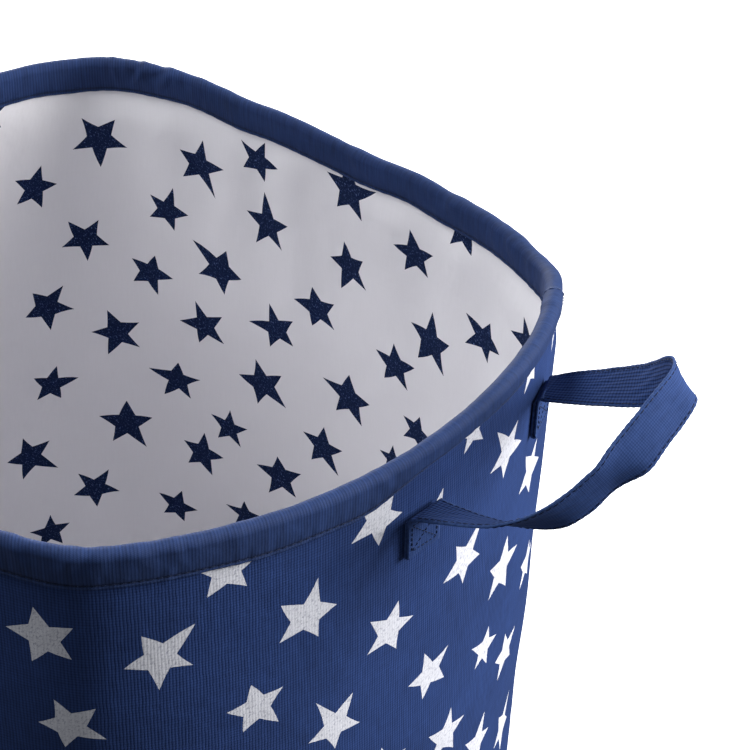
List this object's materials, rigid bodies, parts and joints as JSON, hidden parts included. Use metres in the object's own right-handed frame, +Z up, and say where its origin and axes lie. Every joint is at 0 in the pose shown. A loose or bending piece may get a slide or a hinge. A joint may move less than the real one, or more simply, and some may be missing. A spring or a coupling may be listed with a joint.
{
  "type": "fabric storage bin",
  "caption": "Tall round soft-sided storage bin with a lined wall, a taped spring rim and a webbing loop handle on each side.",
  "frame": {"origin": "centre of the round base, on its underside", "axes": "+Z up the bin's axis; the handles are on +X and -X"},
  "size_m": [0.5874, 0.404, 0.4886],
  "materials": {
    "navy_print_cloth": "matt",
    "pale_print_lining": "smooth coated",
    "felt": "felted",
    "fibreboard": "matt",
    "spring_wire": "drawn",
    "binding_tape": "ribbed, slight sheen",
    "webbing": "woven"
  },
  "bodies": {
    "base": {"outer_shell": "navy_print_cloth", "wall_interlining": "felt", "wall_lining": "pale_print_lining", "base_panel": "navy_print_cloth", "base_board": "fibreboard", "base_lining": "pale_print_lining"},
    "rim": {"rim_hoop": "spring_wire", "hoop_ferrule": "spring_wire", "rim_binding": "binding_tape", "right_sewn_end_front": "webbing", "right_sewn_end_back": "webbing", "left_sewn_end_front": "webbing", "left_sewn_end_back": "webbing"},
    "right_handle": {"right_handle_loop": "webbing"},
    "left_handle": {"left_handle_loop": "webbing"}
  },
  "joints": [
    {"name": "rim_collapse", "type": "slide", "parent": "base", "child": "rim", "axis": [0, 0, 1], "range_m": [-0.2, 0], "deforming": ["outer_shell", "wall_interlining", "wall_lining"]},
    {"name": "right_handle_swing", "type": "hinge", "parent": "rim", "child": "right_handle", "pos_m": [0.2055, 0.00145, 0.4215], "axis": [0.1279, 0.9916, 0.021], "range_deg": [-55, 85]},
    {"name": "left_handle_swing", "type": "hinge", "parent": "rim", "child": "left_handle", "pos_m": [-0.2055, -0.00145, 0.4215], "axis": [-0.1279, -0.9916, 0.021], "range_deg": [-55, 85]}
  ]
}
